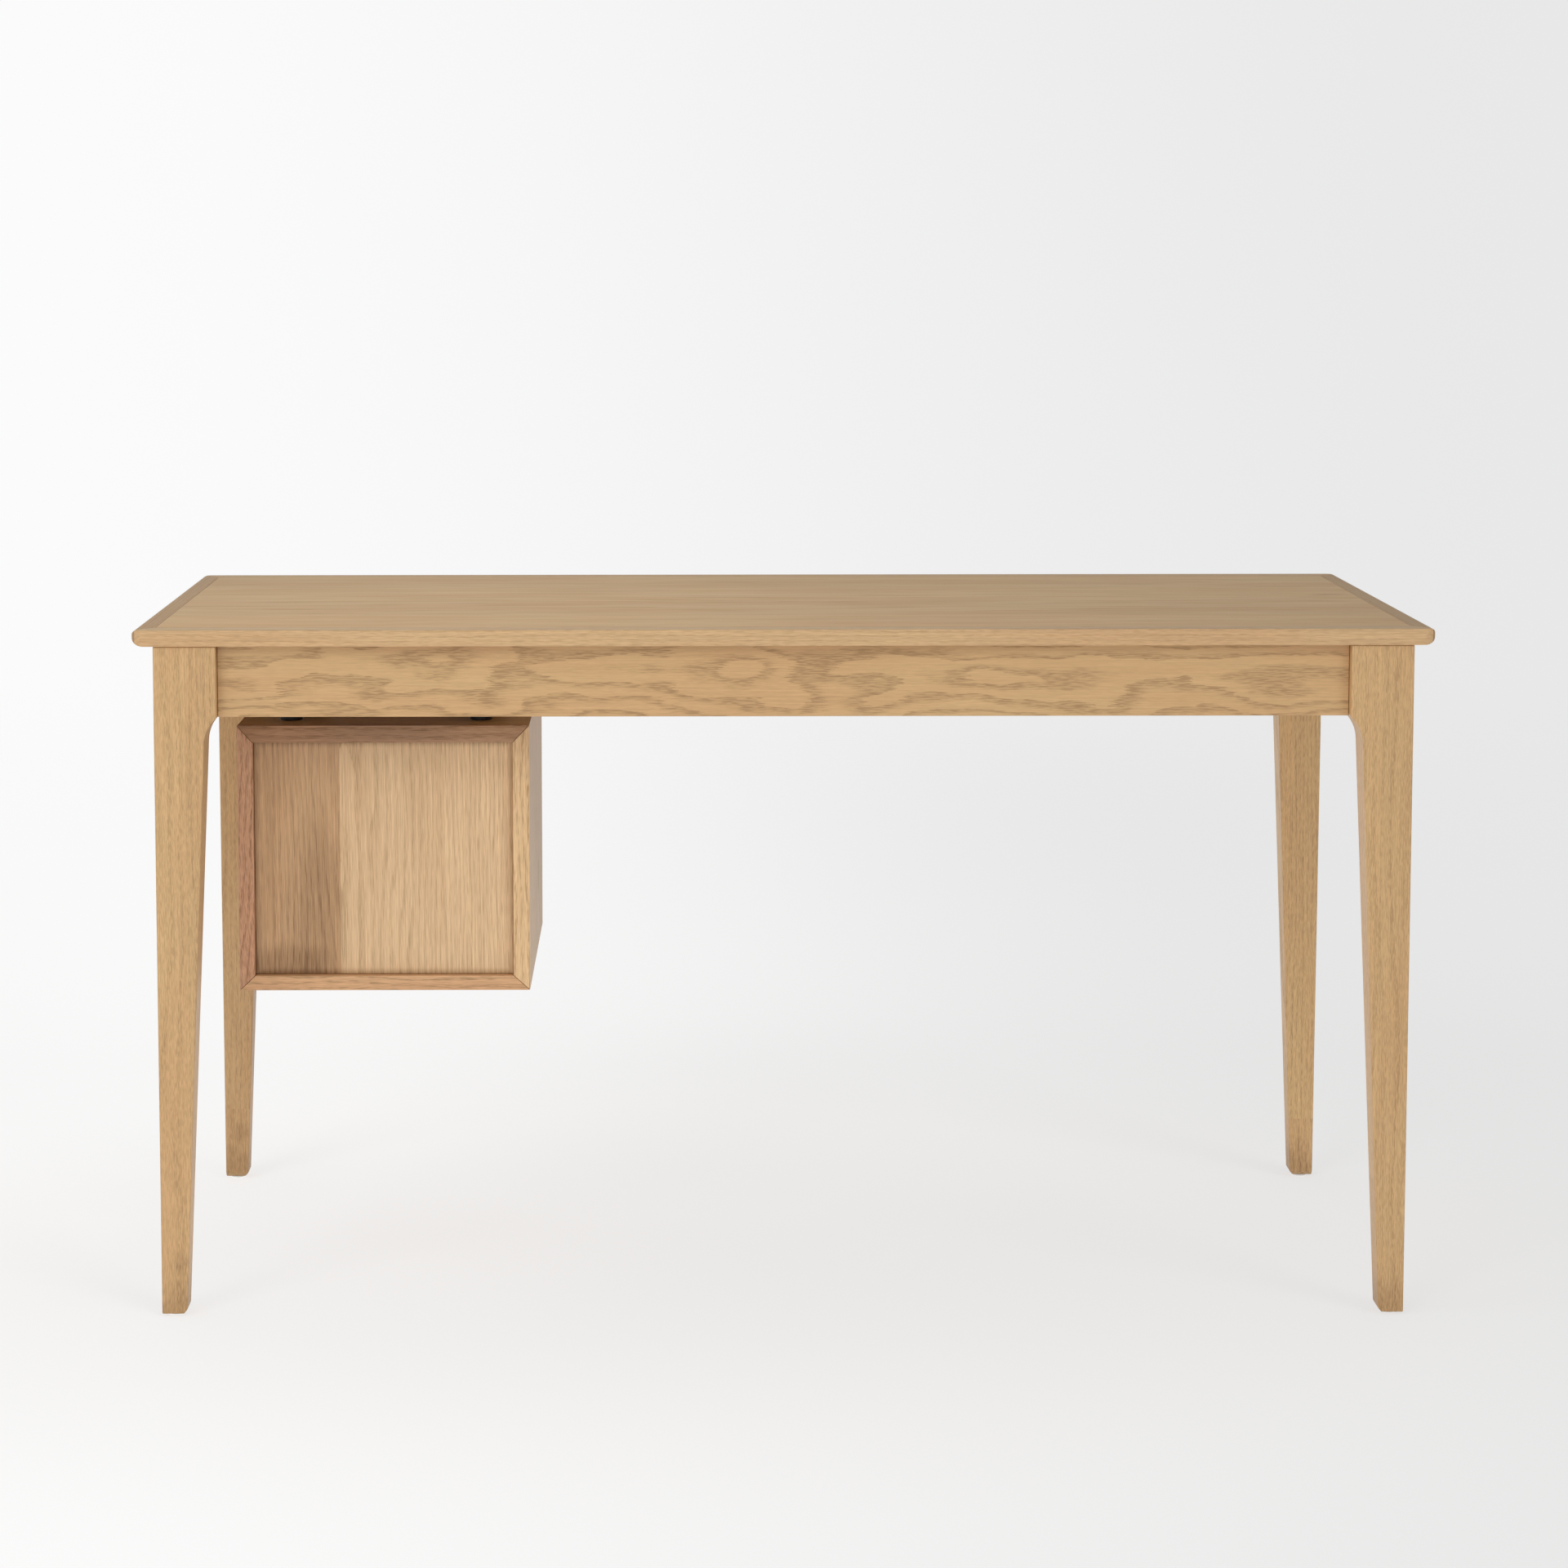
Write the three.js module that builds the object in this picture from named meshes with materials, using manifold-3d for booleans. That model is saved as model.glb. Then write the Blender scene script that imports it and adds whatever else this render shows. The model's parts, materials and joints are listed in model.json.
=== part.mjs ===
// A writing desk in oak: a framed top on four tapered legs, with a two-drawer pedestal hung under it.
// Millimetres, +Z up. The origin is on the floor at the middle of the top's outline. The user sits at -Y,
// where the drawers open, so left and right below are the user's: the pedestal hangs on the right, at +X.

import * as THREE from "three";
import { mergeVertices } from "three/addons/utils/BufferGeometryUtils.js";
import Module from "manifold-3d";

const wasm = await Module();
wasm.setup();

// ---------- Driving dimensions ----------

// Gaps
const glueLine = 0.3; // between any two pieces that meet face to face
const holeClearance = 0.4; // radial, of every bolt and screw in its hole

// Whole desk
const deskWidth = 1416;
const deskDepth = 560;
const deskHeight = 762;

// Top: a veneered field in a solid frame with mitred corners
const topThickness = 18;
const topFrameWidth = 24;
const topCornerRadius = 14;
const topNoseUpperWidth = 8; // both ends are rounded to a nose: its reach above the middle line
const topNoseLowerWidth = 14; // and its longer reach below it
const topNoseRise = 10; // from the underside to the middle line of the nose

// Legs: square and plumb outside, tapered on the two inner faces
const legEndInset = 24; // from the end of the top to the leg
const legEdgeInset = 2; // from the long edge of the top to the leg
const legTopWidth = 68; // along X, beside the apron
const legShoulderWidth = 54.5; // along X, under the arch
const legFootWidth = 28;
const legTopDepth = 42; // along Y
const legFootDepth = 28;
const legArchHeight = 30;
const legFootChamferWidth = 4; // off the foot's two inner edges
const legFootChamferHeight = 5;
const glideRadius = 9;
const glideHeight = 3;
const glideDomeShare = 1 / 3; // part of its height that is domed

// Aprons
const apronHeight = 79;
const apronThickness = 20;
const apronSetback = 12; // behind the outer faces of the legs

// Inside the frame
const cornerBlockThickness = 25; // across the diagonal, measured along the apron
const cornerBlockHeight = 38;
const cornerBlockLegGap = 22; // measured along the apron
const bearerWidth = 60;
const bearerThickness = 22;
const bearerRise = 2; // from the apron's lower edge to the bearer's underside
const braceWidth = 50;
const braceThickness = 20;

// Pedestal case
const pedestalWidth = 326;
const pedestalDepth = 370; // between the proud inner lips, front to back
const pedestalHeight = 300;
const pedestalEndInset = 77; // from the legs' outer face to the case
const pedestalDrop = 23; // from the apron's lower edge to the case
const caseThickness = 18;
const caseLip = 7; // the board edges slope back by this much from inside to outside
const backPanelThickness = 9;
const backPanelRecess = 9; // behind the lips

// Hanging hardware
const standoffRadius = 12.5;
const standoffSideInset = 56; // from the side of the case to the standoff's middle
const standoffLipInset = 55; // from the lips to the standoff's middle
const hangBoltRadius = 3;
const hangBoltHeadRadius = 6.5;
const hangBoltHeadHeight = 4;
const hangBoltGrip = 16; // length in the bearer

// Drawers
const drawerNames = ["drawer_lower", "drawer_upper"];
const drawerReveal = 2; // around each drawer front
const drawerFrontThickness = 18;
const drawerFrontRecess = 3; // behind the lips
const drawerBoardThickness = 12;
const drawerBottomThickness = 6;
const drawerBottomRise = 10; // from the sides' lower edge to the bottom
const drawerSideRise = 12; // from the front's lower edge to the sides
const drawerSideDrop = 16; // from the front's upper edge down to the sides
const drawerBackClearance = 30; // from the drawer to the back panel

// Slides: one channel on the case and one on the drawer, the second inside the first
const slideSpace = 12.5; // between the case and the drawer side
const slideHeight = 45;
const slideWall = 1.5;
const slideRunning = 0.7; // between the flanges of the two channels
const slideWebGap = 1.2; // from one channel's flanges to the other's web
const slideSetback = 5; // from each end of the drawer side to the slide

// Knobs
const knobLength = 24;
const knobHeadRadius = 14;
const knobNeckRadius = 7;
const knobBaseRadius = 9;
const knobFootHeight = 2;
const knobNeckHeight = 8;
const knobScrewRadius = 2;
const knobScrewHeadRadius = 4.5;
const knobScrewHeadHeight = 2.5;
const knobScrewGrip = 13; // length in the knob

// How finely round shapes are cut
const turnedSides = 24;
const holeSides = 16;
const cornerSteps = 8;
const noseSteps = 6;
const archSteps = 12;
const knobSteps = 6;
const cutOverrun = 1; // how far a hole's cutter runs past the surface

// ---------- Heights and places worked out from them ----------

const topUnderside = deskHeight - topThickness;
const legOuterX = deskWidth / 2 - legEndInset;
const legOuterY = deskDepth / 2 - legEdgeInset;
const legInnerX = legOuterX - legTopWidth;
const legInnerY = legOuterY - legTopDepth;
const legTopZ = topUnderside - glueLine;
const apronBottom = topUnderside - apronHeight;
const apronOuterX = legOuterX - apronSetback;
const apronOuterY = legOuterY - apronSetback;
const apronInnerX = apronOuterX - apronThickness;
const apronInnerY = apronOuterY - apronThickness;
const bearerBottom = apronBottom + bearerRise;
const pedestalX = legOuterX - pedestalEndInset - pedestalWidth / 2;
const pedestalTopZ = apronBottom - pedestalDrop;
const pedestalBottomZ = pedestalTopZ - pedestalHeight;
const standoffX = pedestalWidth / 2 - standoffSideInset;
const standoffY = pedestalDepth / 2 - standoffLipInset;
const caseInnerWidth = pedestalWidth - 2 * caseThickness;
const caseInnerHeight = pedestalHeight - 2 * caseThickness;
const drawerCount = drawerNames.length;
const drawerFrontWidth = caseInnerWidth - 2 * drawerReveal;
const drawerFrontHeight = (caseInnerHeight - (drawerCount + 1) * drawerReveal) / drawerCount;
const drawerFrontY = -pedestalDepth / 2 + drawerFrontRecess;
const drawerFrontBackY = drawerFrontY + drawerFrontThickness;
const backPanelY = pedestalDepth / 2 - backPanelRecess - backPanelThickness;
const drawerBoxWidth = caseInnerWidth - 2 * slideSpace;
const drawerBoxFrontY = drawerFrontBackY + glueLine;
const drawerBoxBackY = backPanelY - drawerBackClearance;
const drawerSideHeight = drawerFrontHeight - drawerSideRise - drawerSideDrop;
const slideLength = drawerBoxBackY - drawerBoxFrontY - 2 * slideSetback;
const slideFlange = slideSpace - 2 * glueLine - slideWall - slideWebGap;

// ---------- Materials ----------

const oak = new THREE.MeshStandardMaterial({ color: 0xc9a878, roughness: 0.5, metalness: 0 });
const drawerOak = new THREE.MeshStandardMaterial({ color: 0xd6bd94, roughness: 0.6, metalness: 0 });
const blackSteel = new THREE.MeshStandardMaterial({ color: 0x1c1b1a, roughness: 0.45, metalness: 0.6 });
const zincSteel = new THREE.MeshStandardMaterial({ color: 0xb9bcbe, roughness: 0.35, metalness: 1 });
const whiteNylon = new THREE.MeshStandardMaterial({ color: 0xe9e6df, roughness: 0.5, metalness: 0 });

// ---------- Shared shape helpers ----------

// A box between two corners.
function block(low, high) {
  const size = low.map((value, i) => high[i] - value);
  const geometry = new THREE.BoxGeometry(...size);
  geometry.translate(...low.map((value, i) => value + size[i] / 2));
  return geometry;
}

// A closed outline of [x, y] points drawn up along Z, from z = low to z = high.
function prismZ(points, low, high) {
  const shape = new THREE.Shape(points.map(([x, y]) => new THREE.Vector2(x, y)));
  const geometry = new THREE.ExtrudeGeometry(shape, { depth: high - low, bevelEnabled: false });
  geometry.translate(0, 0, low);
  return geometry;
}

// A closed outline of [x, z] points drawn along Y, from y = low to y = high.
function prismY(points, low, high) {
  const geometry = prismZ(points, -high, -low);
  geometry.rotateX(Math.PI / 2);
  return geometry;
}

// A closed outline of [y, z] points drawn along X, from x = low to x = high.
function prismX(points, low, high) {
  const geometry = prismZ(points, low, high);
  geometry.rotateX(Math.PI / 2);
  geometry.rotateZ(Math.PI / 2);
  return geometry;
}

// A profile of [radius, z] points turned about Z.
function turned(points, segments) {
  const geometry = new THREE.LatheGeometry(
    points.map(([radius, z]) => new THREE.Vector2(radius, z)),
    segments,
  );
  geometry.rotateX(Math.PI / 2);
  return geometry;
}

// Points of a circular arc between two angles in degrees, both ends included.
function arc(x, y, radius, from, to, steps) {
  return Array.from({ length: steps + 1 }, (_, i) => {
    const angle = THREE.MathUtils.degToRad(from + ((to - from) * i) / steps);
    return [x + radius * Math.cos(angle), y + radius * Math.sin(angle)];
  });
}

function solid(geometry) {
  const bare = geometry.clone();
  bare.deleteAttribute("normal");
  bare.deleteAttribute("uv");
  const merged = mergeVertices(bare, 1e-3);
  return new wasm.Manifold(
    new wasm.Mesh({
      numProp: 3,
      vertProperties: merged.attributes.position.array,
      triVerts: new Uint32Array(merged.index.array),
    }),
  );
}

function geometryOf(manifold) {
  const mesh = manifold.getMesh();
  const geometry = new THREE.BufferGeometry();
  geometry.setAttribute("position", new THREE.BufferAttribute(mesh.vertProperties, 3));
  geometry.setIndex(new THREE.BufferAttribute(mesh.triVerts, 1));
  const faceted = geometry.toNonIndexed();
  faceted.computeVertexNormals();
  return faceted;
}

function common(first, ...others) {
  return geometryOf(others.reduce((kept, other) => kept.intersect(solid(other)), solid(first)));
}

function cut(body, ...tools) {
  return geometryOf(tools.reduce((kept, tool) => kept.subtract(solid(tool)), solid(body)));
}

function piece(name, geometry, material) {
  const mesh = new THREE.Mesh(geometry, material);
  mesh.name = name;
  return mesh;
}

// Turns a geometry made for the +X +Y corner into the one for the (sideX, sideY) corner.
function mirrored(geometry, sideX, sideY) {
  let image = solid(geometry);
  if (sideX < 0) image = image.mirror([1, 0, 0]);
  if (sideY < 0) image = image.mirror([0, 1, 0]);
  return geometryOf(image);
}

const corners = [
  { name: "front_left", sideX: -1, sideY: -1 },
  { name: "front_right", sideX: 1, sideY: -1 },
  { name: "back_left", sideX: -1, sideY: 1 },
  { name: "back_right", sideX: 1, sideY: 1 },
];

// ---------- Top ----------

// The whole top as one board: round corners in plan, and a nose at each end made of two quarter ellipses.
function topBlank() {
  const x = deskWidth / 2;
  const y = deskDepth / 2;
  const r = topCornerRadius;
  const plan = [
    ...arc(x - r, y - r, r, 0, 90, cornerSteps),
    ...arc(-x + r, y - r, r, 90, 180, cornerSteps),
    ...arc(-x + r, -y + r, r, 180, 270, cornerSteps),
    ...arc(x - r, -y + r, r, 270, 360, cornerSteps),
  ];
  const noseZ = topUnderside + topNoseRise;
  const lower = arc(0, 0, 1, -90, 0, cornerSteps).map(([u, v]) => [
    x - topNoseLowerWidth * (1 - u),
    noseZ + topNoseRise * v,
  ]);
  const upper = arc(0, 0, 1, 0, 90, noseSteps).map(([u, v]) => [
    x - topNoseUpperWidth * (1 - u),
    noseZ + (topThickness - topNoseRise) * v,
  ]);
  const rightEnd = [...lower, ...upper.slice(1)];
  const leftEnd = rightEnd.map(([u, z]) => [-u, z]).reverse();
  const section = [...rightEnd, ...leftEnd];
  return common(prismZ(plan, topUnderside, deskHeight), prismY(section, -y, y));
}

// The field, two long lippings and two end rails, mitred at the corners.
function top() {
  const group = new THREE.Group();
  const blank = topBlank();
  const x = deskWidth / 2;
  const y = deskDepth / 2;
  const innerX = x - topFrameWidth;
  const innerY = y - topFrameWidth;
  const field = block(
    [-innerX + glueLine, -innerY + glueLine, topUnderside],
    [innerX - glueLine, innerY - glueLine, deskHeight],
  );
  group.add(piece("top_panel", field, oak));
  for (const [name, side] of [["top_edge_front", -1], ["top_edge_back", 1]]) {
    const region = [[-innerX, innerY], [innerX, innerY], [x, y], [-x, y]];
    const mitred = mirrored(prismZ(region, topUnderside, deskHeight), 1, side);
    group.add(piece(name, common(blank, mitred), oak));
  }
  for (const [name, side] of [["top_end_left", -1], ["top_end_right", 1]]) {
    const region = [
      [innerX, -innerY + glueLine],
      [x, -y + glueLine],
      [x, y - glueLine],
      [innerX, innerY - glueLine],
    ];
    const mitred = mirrored(prismZ(region, topUnderside, deskHeight), side, 1);
    group.add(piece(name, common(blank, mitred), oak));
  }
  return group;
}

// ---------- Legs and glides ----------

// The outline from the front: full width beside the apron, an arch below it, then a straight taper.
function legFrontOutline() {
  const outer = legOuterX;
  const shoulderX = outer - legShoulderWidth;
  const shoulderZ = apronBottom - legArchHeight;
  const rise = legTopWidth - legShoulderWidth;
  const radius = (legArchHeight ** 2 + rise ** 2) / (2 * rise);
  const sweep = THREE.MathUtils.radToDeg(Math.asin(legArchHeight / radius));
  const footX = outer - legFootWidth;
  return [
    [outer, glideHeight],
    [outer, legTopZ],
    [legInnerX, legTopZ],
    ...arc(shoulderX - radius, shoulderZ, radius, sweep, 0, archSteps),
    [footX, glideHeight + legFootChamferHeight],
    [footX + legFootChamferWidth, glideHeight],
  ];
}

// The outline from the side: plumb outside, tapered inside below the apron.
function legSideOutline() {
  const outer = legOuterY;
  const footY = outer - legFootDepth;
  return [
    [outer, glideHeight],
    [outer, legTopZ],
    [legInnerY, legTopZ],
    [legInnerY, apronBottom],
    [footY, glideHeight + legFootChamferHeight],
    [footY + legFootChamferWidth, glideHeight],
  ];
}

function legs() {
  const group = new THREE.Group();
  const leg = common(
    prismY(legFrontOutline(), legInnerY, legOuterY),
    prismX(legSideOutline(), legInnerX, legOuterX),
  );
  const dome = glideHeight * glideDomeShare;
  const glideProfile = [
    [0, 0],
    [glideRadius - dome, 0],
    [glideRadius, dome],
    [glideRadius, glideHeight - glueLine],
    [0, glideHeight - glueLine],
  ];
  for (const { name, sideX, sideY } of corners) {
    group.add(piece("leg_" + name, mirrored(leg, sideX, sideY), oak));
    const glide = piece("foot_glide_" + name, turned(glideProfile, turnedSides), whiteNylon);
    glide.position.x = sideX * (legOuterX - legFootWidth / 2);
    glide.position.y = sideY * (legOuterY - legFootDepth / 2);
    group.add(glide);
  }
  return group;
}

// ---------- Aprons, corner blocks, bearers and brace ----------

function aprons() {
  const group = new THREE.Group();
  const endX = legInnerX - glueLine;
  const endY = legInnerY - glueLine;
  for (const [name, side] of [["apron_front", -1], ["apron_back", 1]]) {
    const low = [-endX, side > 0 ? apronInnerY : -apronOuterY, apronBottom];
    const high = [endX, side > 0 ? apronOuterY : -apronInnerY, legTopZ];
    group.add(piece(name, block(low, high), oak));
  }
  for (const [name, side] of [["apron_left", -1], ["apron_right", 1]]) {
    const low = [side > 0 ? apronInnerX : -apronOuterX, -endY, apronBottom];
    const high = [side > 0 ? apronOuterX : -apronInnerX, endY, legTopZ];
    group.add(piece(name, block(low, high), oak));
  }
  return group;
}

// Each block lies diagonally across the inside of a corner, clear of the leg that stands in it.
function cornerBlocks() {
  const group = new THREE.Group();
  const x = apronInnerX - glueLine;
  const y = apronInnerY - glueLine;
  const near = x - legInnerX + (y - legInnerY) + cornerBlockLegGap;
  const far = near + cornerBlockThickness;
  const plan = [[x - near, y], [x - far, y], [x, y - far], [x, y - near]];
  const block45 = prismZ(plan, legTopZ - cornerBlockHeight, legTopZ);
  for (const { name, sideX, sideY } of corners) {
    group.add(piece("corner_block_" + name, mirrored(block45, sideX, sideY), oak));
  }
  return group;
}

// Two bearers run from apron to apron over the pedestal's standoffs, each with two blind bolt holes.
function bearers() {
  const group = new THREE.Group();
  const endY = apronInnerY - glueLine;
  const holeRadius = hangBoltRadius + holeClearance;
  const holeDepth = hangBoltGrip + cutOverrun;
  const holeProfile = [[0, -1], [holeRadius, -1], [holeRadius, holeDepth], [0, holeDepth]];
  for (const [name, side] of [["bearer_inner", -1], ["bearer_outer", 1]]) {
    const x = pedestalX + side * standoffX;
    const board = block(
      [x - bearerWidth / 2, -endY, bearerBottom],
      [x + bearerWidth / 2, endY, bearerBottom + bearerThickness],
    );
    const holes = [-standoffY, standoffY].map((y) => {
      const hole = turned(holeProfile, holeSides);
      hole.translate(x, y, bearerBottom);
      return hole;
    });
    group.add(piece(name, cut(board, ...holes), oak));
  }
  return group;
}

// One brace under the top, halfway across the knee space.
function centreBrace() {
  const x = (pedestalX - pedestalWidth / 2 - legInnerX) / 2;
  const endY = apronInnerY - glueLine;
  const board = block(
    [x - braceWidth / 2, -endY, legTopZ - braceThickness],
    [x + braceWidth / 2, endY, legTopZ],
  );
  return piece("centre_brace", board, oak);
}

// ---------- Pedestal case, in its own frame: origin at the middle of its underside ----------

// One case board, lying under z = 0 with its outer face up: mitred ends, and long edges that slope back.
function caseBoard(outerLength) {
  const half = outerLength / 2 - glueLine;
  const lipY = pedestalDepth / 2;
  const mitres = [
    [-half, 0],
    [-half + caseThickness, -caseThickness],
    [half - caseThickness, -caseThickness],
    [half, 0],
  ];
  const edges = [
    [-lipY + caseLip, 0],
    [-lipY, -caseThickness],
    [lipY, -caseThickness],
    [lipY - caseLip, 0],
  ];
  return common(prismY(mitres, -lipY, lipY), prismX(edges, -half, half));
}

function pedestalCase() {
  const group = new THREE.Group();
  const holeRadius = hangBoltRadius + holeClearance;
  const holes = [];
  for (const x of [-standoffX, standoffX]) {
    for (const y of [-standoffY, standoffY]) {
      const holeLength = 2 * (caseThickness + cutOverrun);
      const hole = new THREE.CylinderGeometry(holeRadius, holeRadius, holeLength, holeSides);
      hole.rotateX(Math.PI / 2);
      hole.translate(x, y, 0);
      holes.push(hole);
    }
  }
  const topBoard = piece("pedestal_top", cut(caseBoard(pedestalWidth), ...holes), oak);
  topBoard.position.z = pedestalHeight;
  const bottomBoard = piece("pedestal_bottom", caseBoard(pedestalWidth), oak);
  bottomBoard.rotation.y = Math.PI;
  group.add(topBoard, bottomBoard);
  for (const [name, side] of [["pedestal_side_inner", -1], ["pedestal_side_outer", 1]]) {
    const board = piece(name, caseBoard(pedestalHeight), oak);
    board.rotation.y = (side * Math.PI) / 2;
    board.position.x = (side * pedestalWidth) / 2;
    board.position.z = pedestalHeight / 2;
    group.add(board);
  }
  const panelX = caseInnerWidth / 2 - glueLine;
  const panel = block(
    [-panelX, backPanelY, caseThickness + glueLine],
    [panelX, backPanelY + backPanelThickness, pedestalHeight - caseThickness - glueLine],
  );
  group.add(piece("pedestal_back_panel", panel, oak));
  return group;
}

// A spacer and a bolt at each of the four hanging points.
function hanging() {
  const group = new THREE.Group();
  const holeRadius = hangBoltRadius + holeClearance;
  const spacerLow = pedestalHeight + glueLine;
  const spacerHigh = bearerBottom - pedestalBottomZ - glueLine;
  const spacer = turned(
    [
      [holeRadius, spacerLow],
      [standoffRadius, spacerLow],
      [standoffRadius, spacerHigh],
      [holeRadius, spacerHigh],
      [holeRadius, spacerLow],
    ],
    turnedSides,
  );
  const headTop = pedestalHeight - caseThickness - glueLine;
  const shankTop = bearerBottom - pedestalBottomZ + hangBoltGrip;
  const bolt = turned(
    [
      [0, headTop - hangBoltHeadHeight],
      [hangBoltHeadRadius, headTop - hangBoltHeadHeight],
      [hangBoltHeadRadius, headTop],
      [hangBoltRadius, headTop],
      [hangBoltRadius, shankTop],
      [0, shankTop],
    ],
    holeSides,
  );
  for (const { name, sideX, sideY } of corners) {
    const place = [sideX * standoffX, sideY * standoffY, 0];
    const standoff = piece("standoff_" + name, spacer, blackSteel);
    standoff.position.set(...place);
    const hangBolt = piece("hang_bolt_" + name, bolt, zincSteel);
    hangBolt.position.set(...place);
    group.add(standoff, hangBolt);
  }
  return group;
}

// ---------- Slides ----------

// A channel along Y with its web at x = 0, open towards +X.
function channel(height) {
  const h = height / 2;
  const section = [
    [0, -h],
    [slideFlange, -h],
    [slideFlange, -h + slideWall],
    [slideWall, -h + slideWall],
    [slideWall, h - slideWall],
    [slideFlange, h - slideWall],
    [slideFlange, h],
    [0, h],
  ];
  return prismY(section, -slideLength / 2, slideLength / 2);
}

// The two channels of the slide on one side of a drawer: side -1 is the user's left.
function slide(drawerName, side, centreZ) {
  const sideName = side < 0 ? "left" : "right";
  const innerHeight = slideHeight - 2 * slideWall - 2 * slideRunning;
  const centreY = drawerBoxFrontY + slideSetback + slideLength / 2;
  const outer = piece(drawerName + "_slide_case_" + sideName, channel(slideHeight), zincSteel);
  outer.position.set(side * (caseInnerWidth / 2 - glueLine), centreY, centreZ);
  outer.rotation.z = side < 0 ? 0 : Math.PI;
  const inner = piece(drawerName + "_slide_drawer_" + sideName, channel(innerHeight), zincSteel);
  inner.position.set(side * (drawerBoxWidth / 2 + glueLine), centreY, centreZ);
  inner.rotation.z = side < 0 ? Math.PI : 0;
  return [outer, inner];
}

// ---------- Drawers ----------

// From the base up: a foot, a neck, a wide rim and a shallow dome, with the screw hole inside.
function knobProfile() {
  const holeRadius = knobScrewRadius + holeClearance;
  const holeDepth = knobScrewGrip + cutOverrun;
  const rim = knobLength - knobHeadRadius / 2;
  const domeRise = knobLength - rim;
  const dome = arc(0, 0, 1, 0, 90, knobSteps).map(([u, v]) => [knobHeadRadius * u, rim + domeRise * v]);
  return [
    [0, holeDepth],
    [holeRadius, holeDepth],
    [holeRadius, 0],
    [knobBaseRadius, 0],
    [knobBaseRadius, knobFootHeight],
    [knobNeckRadius, knobFootHeight + knobNeckHeight / 2],
    [knobNeckRadius, knobFootHeight + knobNeckHeight],
    ...dome.slice(0, -1),
    [0, knobLength],
  ];
}

// A turned knob on the drawer front, and the screw that holds it from inside.
function knob(drawerName, centreZ) {
  const turnedKnob = turned(knobProfile(), turnedSides);
  turnedKnob.rotateX(Math.PI / 2);
  const body = piece(drawerName + "_knob", turnedKnob, oak);
  body.position.set(0, drawerFrontY - glueLine, centreZ);
  const shankLength = drawerFrontThickness + knobScrewGrip;
  const screwGeometry = turned(
    [
      [0, -knobScrewHeadHeight],
      [knobScrewHeadRadius, -knobScrewHeadHeight],
      [knobScrewHeadRadius, 0],
      [knobScrewRadius, 0],
      [knobScrewRadius, shankLength],
      [0, shankLength],
    ],
    holeSides,
  );
  screwGeometry.rotateX(Math.PI / 2);
  const screw = piece(drawerName + "_knob_screw", screwGeometry, zincSteel);
  screw.position.set(0, drawerBoxFrontY, centreZ);
  return [body, screw];
}

// The five boards of one drawer. frontZ is the lower edge of its front.
function drawerBoards(drawerName, frontZ) {
  const halfFront = drawerFrontWidth / 2;
  const halfBox = drawerBoxWidth / 2;
  const innerX = halfBox - drawerBoardThickness;
  const boxZ = frontZ + drawerSideRise;
  const boxTopZ = boxZ + drawerSideHeight;
  const board = block(
    [-halfFront, drawerFrontY, frontZ],
    [halfFront, drawerFrontBackY, frontZ + drawerFrontHeight],
  );
  const holeRadius = knobScrewRadius + holeClearance;
  const holeLength = 2 * (drawerFrontThickness + cutOverrun);
  const hole = new THREE.CylinderGeometry(holeRadius, holeRadius, holeLength, holeSides);
  hole.translate(0, drawerFrontBackY, frontZ + drawerFrontHeight / 2);
  const pieces = [piece(drawerName + "_front", cut(board, hole), oak)];
  for (const [name, side] of [["_side_left", -1], ["_side_right", 1]]) {
    const low = [side > 0 ? innerX : -halfBox, drawerBoxFrontY, boxZ];
    const high = [side > 0 ? halfBox : -innerX, drawerBoxBackY, boxTopZ];
    pieces.push(piece(drawerName + name, block(low, high), drawerOak));
  }
  const fitX = innerX - glueLine;
  const back = block([-fitX, drawerBoxBackY - drawerBoardThickness, boxZ], [fitX, drawerBoxBackY, boxTopZ]);
  pieces.push(piece(drawerName + "_back", back, drawerOak));
  const bottomZ = boxZ + drawerBottomRise;
  const bottom = block(
    [-fitX, drawerBoxFrontY, bottomZ],
    [fitX, drawerBoxBackY - drawerBoardThickness - glueLine, bottomZ + drawerBottomThickness],
  );
  pieces.push(piece(drawerName + "_bottom", bottom, drawerOak));
  return pieces;
}

function drawers() {
  const group = new THREE.Group();
  drawerNames.forEach((drawerName, row) => {
    const frontZ = caseThickness + drawerReveal + row * (drawerFrontHeight + drawerReveal);
    const slideZ = frontZ + drawerSideRise + drawerSideHeight / 2;
    group.add(...drawerBoards(drawerName, frontZ));
    group.add(...knob(drawerName, frontZ + drawerFrontHeight / 2));
    group.add(...slide(drawerName, -1, slideZ));
    group.add(...slide(drawerName, 1, slideZ));
  });
  return group;
}

// ---------- Whole desk ----------

const pedestal = new THREE.Group();
pedestal.position.set(pedestalX, 0, pedestalBottomZ);
pedestal.add(pedestalCase(), hanging(), drawers());

const desk = new THREE.Group();
desk.name = "writing_desk";
desk.add(top(), legs(), aprons(), cornerBlocks(), bearers(), centreBrace(), pedestal);

export default desk;
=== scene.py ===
import json
import math
from functools import partial

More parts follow.
